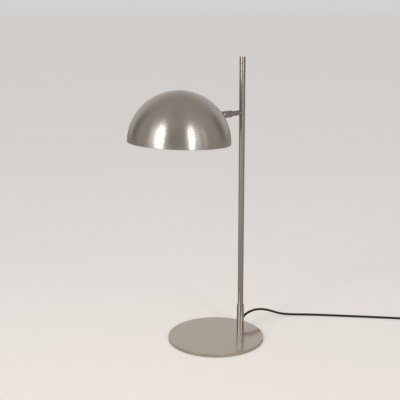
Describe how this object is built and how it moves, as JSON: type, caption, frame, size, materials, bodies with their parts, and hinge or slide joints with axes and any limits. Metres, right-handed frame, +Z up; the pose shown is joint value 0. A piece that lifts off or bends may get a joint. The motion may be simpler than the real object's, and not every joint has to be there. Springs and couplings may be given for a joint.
{
  "type": "dome shade desk lamp",
  "caption": "Desk lamp with a round base plate, an upright pole and a tilting dome shade on a short arm, with cord, in-line switch and plug.",
  "frame": {"origin": "centre of the round base's underside, where it stands on the table", "axes": "+Z up along the pole; -Y the way the arm and shade reach over the base; +Y the side the cord leaves; +X to the right of the lamp seen from the shade's side"},
  "size_m": [0.4781, 0.6935, 0.584],
  "materials": {
    "base_nickel": "satin nickel plating, fine turned grain",
    "stem_nickel": "satin nickel plating",
    "shade_nickel": "satin nickel plating, fine spun grain; white inside",
    "plated_steel": "bright zinc plating",
    "nylon": "natural nylon",
    "base_pad": "matt black foam rubber",
    "holder_plastic": "matt, heat resistant",
    "ceramic": "glazed ceramic and vitrite insulator",
    "contact_brass": "bare",
    "opal_glass": "opal",
    "bulb_cap_metal": "bright",
    "lead_insulation": "matt",
    "cord_sheath": "smooth black flex",
    "cord_fittings": "fine textured black",
    "switch_rocker": "satin black",
    "cord_tie": "matt black",
    "plug_metal": "nickel plated"
  },
  "bodies": {
    "stand": {"base_plate": "base_nickel", "base_pad": "base_pad", "base_screw": "plated_steel", "foot_sleeve": "stem_nickel", "cord_bush": "cord_fittings", "pole_set_screw": "plated_steel", "pole_tube": "stem_nickel", "pole_cap": "stem_nickel", "arm_tube": "stem_nickel", "arm_spigot": "plated_steel", "knuckle_fork": "stem_nickel", "pivot_screw": "plated_steel", "friction_washers": "nylon", "pole_leads": "lead_insulation", "lamp_cord": "cord_sheath", "switch_base": "cord_fittings", "switch_cover": "cord_fittings", "switch_grommets": "cord_fittings", "switch_screws": "plated_steel", "link_cord": "cord_sheath", "cord_coil": "cord_sheath", "cord_tie": "cord_tie", "tail_cord": "cord_sheath", "plug_body": "cord_fittings", "plug_pins": "plug_metal", "plug_pin_sleeves": "cord_fittings"},
    "shade": {"knuckle_tongue": "stem_nickel", "outer_saddle": "stem_nickel", "shade_shell": "shade_nickel", "inner_saddle": "plated_steel", "nipple": "plated_steel", "lock_washer": "plated_steel", "lock_nut": "plated_steel", "holder_cap": "holder_plastic", "holder_skirt": "holder_plastic", "holder_insert": "ceramic", "holder_screw_shell": "contact_brass", "holder_contact": "contact_brass", "bulb_glass": "opal_glass", "bulb_screw_cap": "bulb_cap_metal", "bulb_foot": "ceramic", "shade_leads": "lead_insulation"},
    "rocker": {"switch_rocker": "switch_rocker"}
  },
  "joints": [
    {"name": "shade_tilt", "type": "hinge", "parent": "stand", "child": "shade", "pos_m": [0, 0.0215, 0.472], "axis": [1, 0, 0], "range_deg": [-41.9, 48.1]},
    {"name": "switch_rocker_tilt", "type": "hinge", "parent": "stand", "child": "rocker", "pos_m": [0.25442, 0.42516, 0.0088], "axis": [0.6665, -0.7455, 0], "range_deg": [0, 14]}
  ]
}
